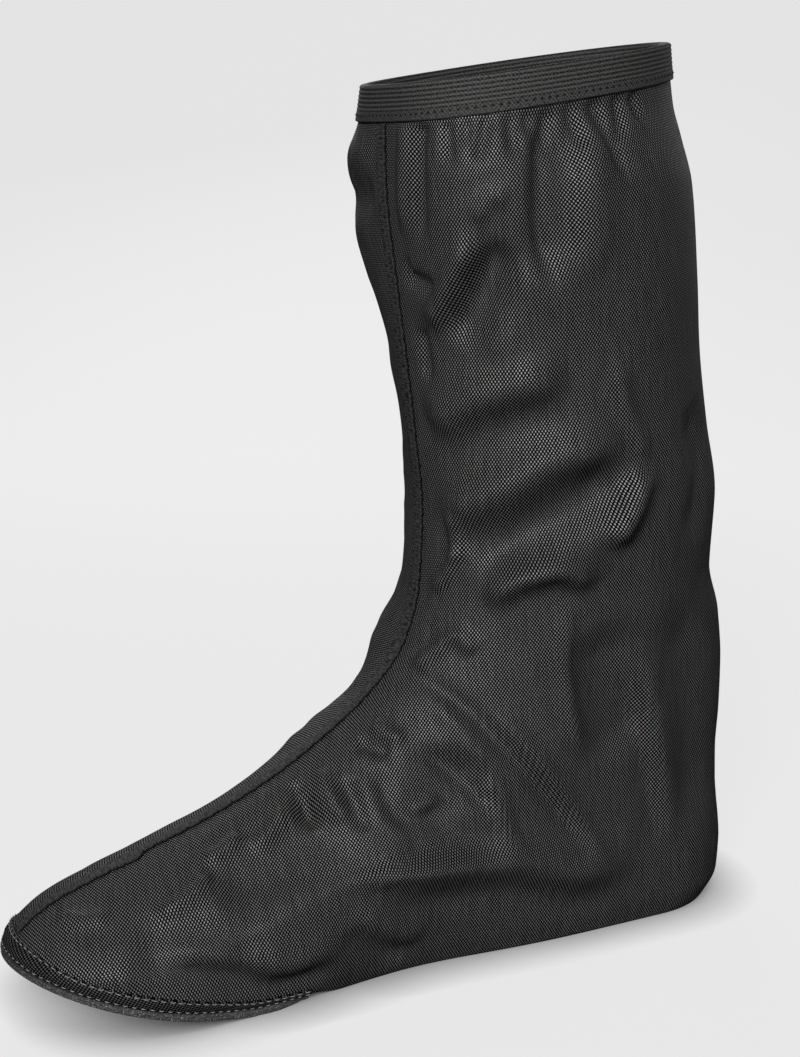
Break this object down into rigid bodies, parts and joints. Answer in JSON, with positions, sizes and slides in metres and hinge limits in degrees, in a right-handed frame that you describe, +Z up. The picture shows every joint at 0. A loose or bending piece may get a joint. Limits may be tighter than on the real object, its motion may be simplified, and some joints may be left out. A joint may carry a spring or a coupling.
{
  "type": "long cycling overshoe",
  "caption": "Black woven overshoe that covers shoe, ankle and shin, with a toe sole, a centre front seam, an open underside and a gathered elastic collar.",
  "frame": {"origin": "middle of the bounding box, on the floor that the sole stands on", "axes": "-X towards the toe, -Y towards the wearer's left, +Z up the shaft"},
  "size_m": [0.3068, 0.113, 0.3461],
  "materials": {
    "coated_cloth": "coarse black plain weave, coated inside, satin",
    "seam_cloth": "folded and felled black weave, matt",
    "rand_cloth": "doubled black weave with grey topstitching",
    "grip_sole": "grainy, non-slip, matt",
    "elastic": "ribbed woven elastic, matt"
  },
  "bodies": {
    "root": {"upper_shell": "coated_cloth", "front_seam": "seam_cloth", "toe_rand": "rand_cloth", "toe_sole": "grip_sole", "collar_elastic": "elastic"}
  },
  "joints": []
}
